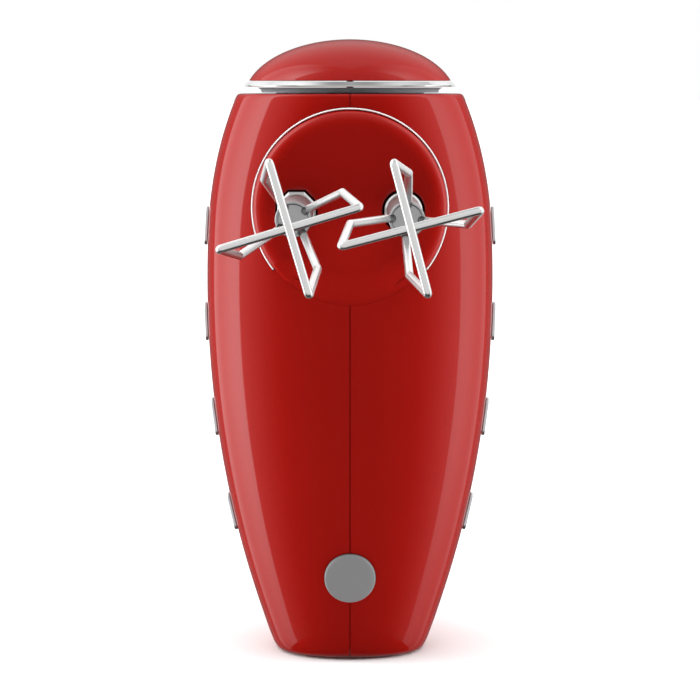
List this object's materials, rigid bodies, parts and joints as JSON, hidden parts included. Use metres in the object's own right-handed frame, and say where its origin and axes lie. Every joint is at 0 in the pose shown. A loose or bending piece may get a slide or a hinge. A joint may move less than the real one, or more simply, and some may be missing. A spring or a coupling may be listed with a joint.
{
  "type": "hand mixer",
  "caption": "Electric hand mixer standing on its heel, with a rounded two-shell body, loop handle, domed nose and a pair of detachable wire beaters.",
  "frame": {"origin": "on the resting plane, under the middle of the body, on the heel pad's face", "axes": "+Z from the heel to the nose, -Y the way the beaters point, +Y the side of the handle, X across"},
  "size_m": [0.1008, 0.2628, 0.2109],
  "materials": {
    "housing_red": "high gloss red moulding",
    "chrome": "bright chrome plate",
    "steel": "polished stainless steel",
    "cast_grey": "satin grey metal",
    "pad_grey": "matt mid-grey rubber",
    "grip_grey": "fine-textured charcoal rubber",
    "dark_grey": "satin dark grey plastic",
    "panel_silver": "satin silver paint on plastic",
    "lens_dark": "clear gloss over a black mask",
    "board_green": "green circuit board",
    "iron": "laminated steel",
    "copper": "enamelled copper",
    "brass": "bright brass",
    "carbon": "pressed carbon",
    "gear_white": "greased natural nylon"
  },
  "bodies": {
    "housing": {"housing_left": "housing_red", "housing_right": "housing_red", "beater_boss": "housing_red", "boss_trim": "chrome", "nose_cap": "housing_red", "nose_ring": "chrome", "nose_neck": "dark_grey", "nose_screw": "steel", "rest_pad": "pad_grey", "heel_pad": "pad_grey", "cord_inlet": "dark_grey", "handle_inlay": "chrome", "handle_grip": "grip_grey", "control_panel": "panel_silver", "display_lens": "lens_dark", "control_board": "board_green", "eject_spring": "steel", "gearbox_frame": "dark_grey", "stator_core": "iron", "field_winding_front": "copper", "field_winding_rear": "copper", "front_bearing": "steel", "rear_bearing": "steel", "rear_bracket": "dark_grey", "brush_holder_left": "brass", "brush_holder_right": "brass", "carbon_brush_left": "carbon", "carbon_brush_right": "carbon", "side_bar_left_1": "chrome", "side_bar_left_2": "chrome", "side_bar_left_3": "chrome", "side_bar_left_4": "chrome", "side_bar_right_1": "chrome", "side_bar_right_2": "chrome", "side_bar_right_3": "chrome", "side_bar_right_4": "chrome"},
    "armature": {"armature_shaft": "steel", "armature_core": "iron", "commutator": "copper", "cooling_fan": "dark_grey"},
    "ejector": {"eject_button": "chrome", "eject_yoke": "dark_grey"},
    "power_switch": {"power_slide": "chrome"},
    "minus_key": {"minus_button": "chrome"},
    "plus_key": {"plus_button": "chrome"},
    "turbo_key": {"turbo_button": "housing_red"},
    "drive_left": {"drive_gear_left": "gear_white", "spindle_left": "steel"},
    "push_pin_left": {"eject_pin_left": "steel"},
    "beater_left": {"beater_left_shank": "steel", "beater_left_hub": "cast_grey", "beater_left_inner_loop": "steel", "beater_left_outer_loop": "steel"},
    "drive_right": {"drive_gear_right": "gear_white", "spindle_right": "steel"},
    "push_pin_right": {"eject_pin_right": "steel"},
    "beater_right": {"beater_right_shank": "steel", "beater_right_hub": "cast_grey", "beater_right_inner_loop": "steel", "beater_right_outer_loop": "steel"}
  },
  "joints": [
    {"name": "motor_spin", "type": "hinge", "parent": "housing", "child": "armature", "pos_m": [0, -0.008, 0.154], "axis": [0, 0, 1], "continuous": true},
    {"name": "beater_spin_left", "type": "hinge", "parent": "housing", "child": "drive_left", "pos_m": [-0.0176, 0, 0.154], "axis": [0, 1, 0], "continuous": true},
    {"name": "beater_spin_right", "type": "hinge", "parent": "housing", "child": "drive_right", "pos_m": [0.0176, 0, 0.154], "axis": [0, 1, 0], "continuous": true},
    {"name": "eject_press", "type": "slide", "parent": "housing", "child": "ejector", "axis": [0, -1, 0], "range_m": [0, 0.007], "stiffness_N_per_m": 400, "springref_m": -0.005, "deforming": ["eject_spring"]},
    {"name": "push_pin_slide_left", "type": "slide", "parent": "drive_left", "child": "push_pin_left", "axis": [0, -1, 0], "range_m": [0, 0.007]},
    {"name": "beater_pull_left", "type": "slide", "parent": "push_pin_left", "child": "beater_left", "axis": [0, -1, 0], "range_m": [0, 0.044]},
    {"name": "push_pin_slide_right", "type": "slide", "parent": "drive_right", "child": "push_pin_right", "axis": [0, -1, 0], "range_m": [0, 0.007]},
    {"name": "beater_pull_right", "type": "slide", "parent": "push_pin_right", "child": "beater_right", "axis": [0, -1, 0], "range_m": [0, 0.044]},
    {"name": "minus_press", "type": "slide", "parent": "housing", "child": "minus_key", "axis": [0, -0.9962, -0.0872], "range_m": [0, 0.0015], "stiffness_N_per_m": 500, "springref_m": -0.001},
    {"name": "plus_press", "type": "slide", "parent": "housing", "child": "plus_key", "axis": [0, -0.9962, -0.0872], "range_m": [0, 0.0015], "stiffness_N_per_m": 500, "springref_m": -0.001},
    {"name": "turbo_press", "type": "slide", "parent": "housing", "child": "turbo_key", "axis": [0, -0.9962, -0.0872], "range_m": [0, 0.0015], "stiffness_N_per_m": 500, "springref_m": -0.001},
    {"name": "power_slide_travel", "type": "slide", "parent": "housing", "child": "power_switch", "axis": [0, -0.0872, 0.9962], "range_m": [0, 0.006]}
  ],
  "couplings": [
    {"joint": "beater_spin_left", "follows": "motor_spin", "ratio": 0.071429},
    {"joint": "beater_spin_right", "follows": "motor_spin", "ratio": -0.071429},
    {"joint": "push_pin_slide_left", "follows": "eject_press", "ratio": 1},
    {"joint": "push_pin_slide_right", "follows": "eject_press", "ratio": 1}
  ]
}
